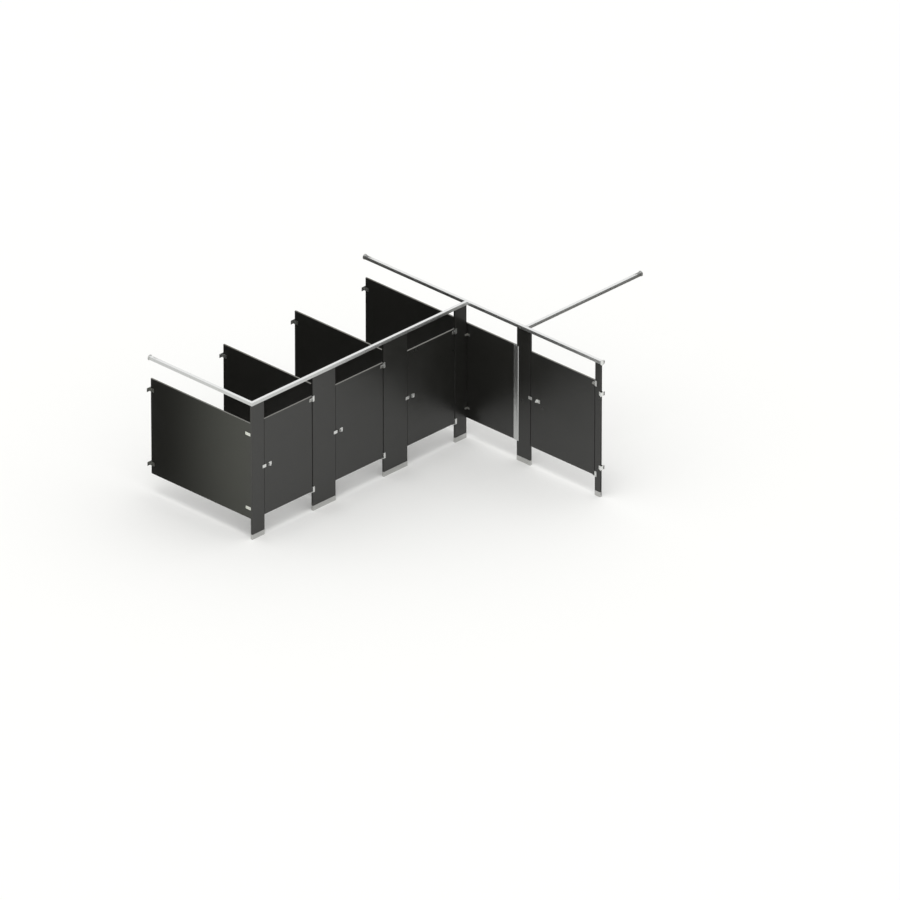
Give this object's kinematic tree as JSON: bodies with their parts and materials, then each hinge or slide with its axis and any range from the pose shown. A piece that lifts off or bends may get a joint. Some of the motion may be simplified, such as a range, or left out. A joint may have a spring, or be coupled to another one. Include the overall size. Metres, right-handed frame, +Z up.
{
  "type": "toilet partition",
  "caption": "L-shaped overhead-braced toilet partition with dividers, pilasters, inward-swinging doors, slide latches, floor shoes and headrails fixed to the walls.",
  "frame": {"origin": "on the finished floor under the centre of pilaster A, in the middle plane of the front row", "axes": "+X along the front row to the accessible stall, +Y to the back wall, +Z up"},
  "size_m": [6.5792, 4.571, 2.1335],
  "materials": {
    "charcoal_powder_coat": "satin charcoal powder coat on steel",
    "bright_anodised_aluminium": "bright satin anodised",
    "satin_stainless_steel": "satin brushed stainless",
    "satin_chrome_castings": "satin chrome plate on cast zinc",
    "black_nylon": "moulded nylon",
    "bumper_rubber": "matt black rubber"
  },
  "bodies": {
    "frame": {"panel_1": "charcoal_powder_coat", "panel_2": "charcoal_powder_coat", "panel_3": "charcoal_powder_coat", "panel_4": "charcoal_powder_coat", "fixed_panel": "charcoal_powder_coat", "pilaster_a": "charcoal_powder_coat", "pilaster_b": "charcoal_powder_coat", "pilaster_c": "charcoal_powder_coat", "pilaster_d": "charcoal_powder_coat", "pilaster_e": "charcoal_powder_coat", "pilaster_f": "charcoal_powder_coat", "shoe_a": "satin_stainless_steel", "shoe_b": "satin_stainless_steel", "shoe_c": "satin_stainless_steel", "shoe_d": "satin_stainless_steel", "shoe_e": "satin_stainless_steel", "shoe_f": "satin_stainless_steel", "levelling_feet": "satin_stainless_steel", "end_headrail": "bright_anodised_aluminium", "front_headrail": "bright_anodised_aluminium", "run_headrail": "bright_anodised_aluminium", "brace_headrail": "bright_anodised_aluminium", "headrail_splices": "satin_stainless_steel", "rail_wall_flanges": "satin_chrome_castings", "wall_brackets": "satin_chrome_castings", "pilaster_wall_brackets": "satin_chrome_castings", "pilaster_stirrups": "satin_chrome_castings", "corner_angles": "satin_chrome_castings", "joining_channel": "bright_anodised_aluminium", "through_bolts": "satin_stainless_steel", "upper_hinge_brackets": "satin_chrome_castings", "lower_hinge_brackets": "satin_chrome_castings", "hinge_pins": "satin_stainless_steel", "lower_cams": "black_nylon", "keepers": "satin_chrome_castings", "keeper_bumpers": "bumper_rubber"},
    "door_1": {"door_1": "charcoal_powder_coat", "door_1_hinge_blocks": "satin_chrome_castings", "door_1_pull": "satin_chrome_castings", "door_1_latch_case": "satin_chrome_castings", "door_1_coat_hook": "satin_chrome_castings"},
    "bolt_1": {"door_1_bolt": "satin_stainless_steel"},
    "door_2": {"door_2": "charcoal_powder_coat", "door_2_hinge_blocks": "satin_chrome_castings", "door_2_pull": "satin_chrome_castings", "door_2_latch_case": "satin_chrome_castings", "door_2_coat_hook": "satin_chrome_castings"},
    "bolt_2": {"door_2_bolt": "satin_stainless_steel"},
    "door_3": {"door_3": "charcoal_powder_coat", "door_3_hinge_blocks": "satin_chrome_castings", "door_3_pull": "satin_chrome_castings", "door_3_latch_case": "satin_chrome_castings", "door_3_coat_hook": "satin_chrome_castings"},
    "bolt_3": {"door_3_bolt": "satin_stainless_steel"},
    "door_4": {"door_4": "charcoal_powder_coat", "door_4_hinge_blocks": "satin_chrome_castings", "door_4_pull": "satin_chrome_castings", "door_4_latch_case": "satin_chrome_castings", "door_4_coat_hook": "satin_chrome_castings"},
    "bolt_4": {"door_4_bolt": "satin_stainless_steel"}
  },
  "joints": [
    {"name": "door_1_hinge", "type": "hinge", "parent": "frame", "child": "door_1", "pos_m": [1.0275, 0, 1.041], "axis": [0, 0, -1], "range_deg": [0, 95]},
    {"name": "door_1_latch_slide", "type": "slide", "parent": "door_1", "child": "bolt_1", "axis": [-1, 0, 0], "range_m": [0, 0.028]},
    {"name": "door_2_hinge", "type": "hinge", "parent": "frame", "child": "door_2", "pos_m": [2.4175, 0, 1.041], "axis": [0, 0, -1], "range_deg": [0, 95]},
    {"name": "door_2_latch_slide", "type": "slide", "parent": "door_2", "child": "bolt_2", "axis": [-1, 0, 0], "range_m": [0, 0.028]},
    {"name": "door_3_hinge", "type": "hinge", "parent": "frame", "child": "door_3", "pos_m": [3.8305, 0, 1.041], "axis": [0, 0, -1], "range_deg": [0, 95]},
    {"name": "door_3_latch_slide", "type": "slide", "parent": "door_3", "child": "bolt_3", "axis": [-1, 0, 0], "range_m": [0, 0.028]},
    {"name": "door_4_hinge", "type": "hinge", "parent": "frame", "child": "door_4", "pos_m": [4.1189, -2.429, 1.041], "axis": [0, 0, -1], "range_deg": [0, 95]},
    {"name": "door_4_latch_slide", "type": "slide", "parent": "door_4", "child": "bolt_4", "axis": [0, 1, 0], "range_m": [0, 0.028]}
  ]
}
